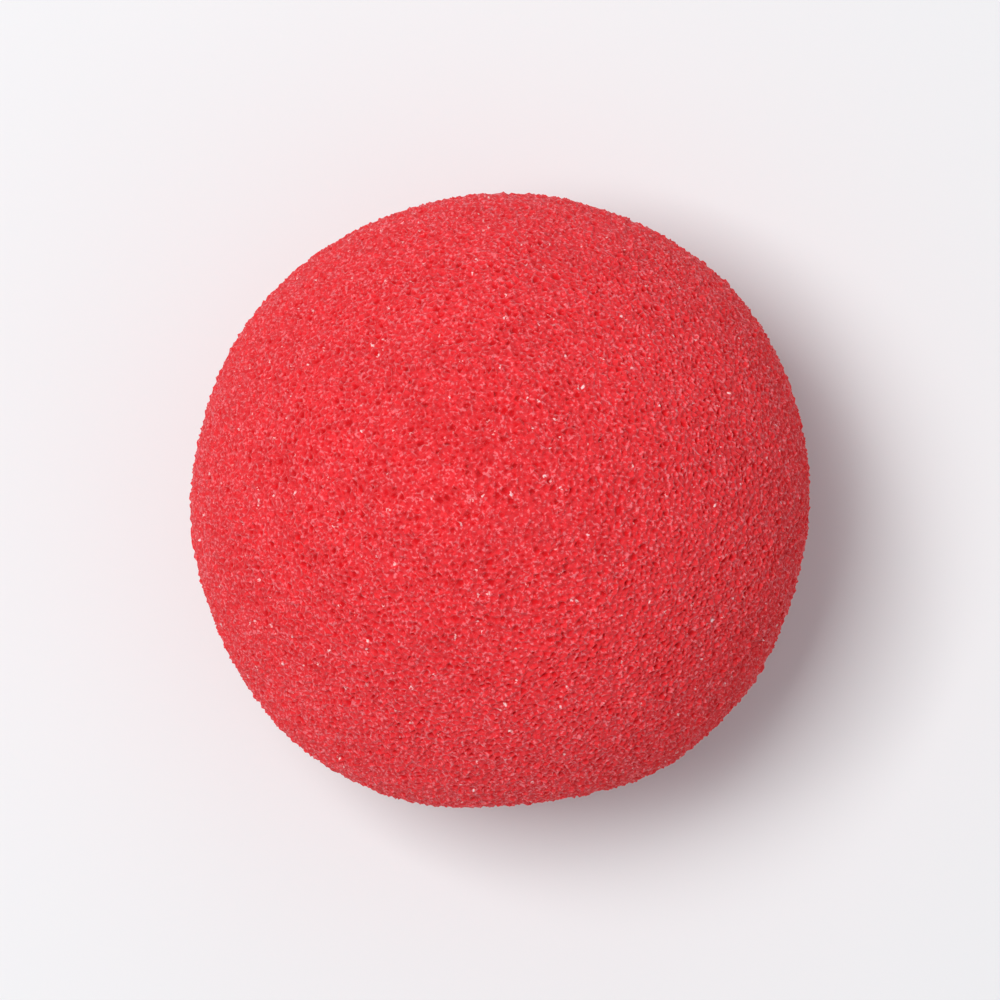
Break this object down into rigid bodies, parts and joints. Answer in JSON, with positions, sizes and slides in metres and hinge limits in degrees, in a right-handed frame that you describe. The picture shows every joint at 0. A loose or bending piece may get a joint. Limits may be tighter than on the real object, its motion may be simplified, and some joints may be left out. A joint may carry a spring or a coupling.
{
  "type": "clown nose",
  "caption": "Soft round foam clown nose with a round pocket in its flat back for the wearer's own nose.",
  "frame": {"origin": "middle of the pocket's mouth, in the plane of the flat ring that the nose rests on and that lies against the face", "axes": "+Z points out of the face, along the way the nose points when worn and up when it rests on its ring; +X and +Y are the right and the top of the pictured side"},
  "size_m": [0.0506, 0.0502, 0.0465],
  "materials": {
    "red_foam": "matt open-cell foam"
  },
  "bodies": {
    "root": {"foam_ball": "red_foam"}
  },
  "joints": []
}
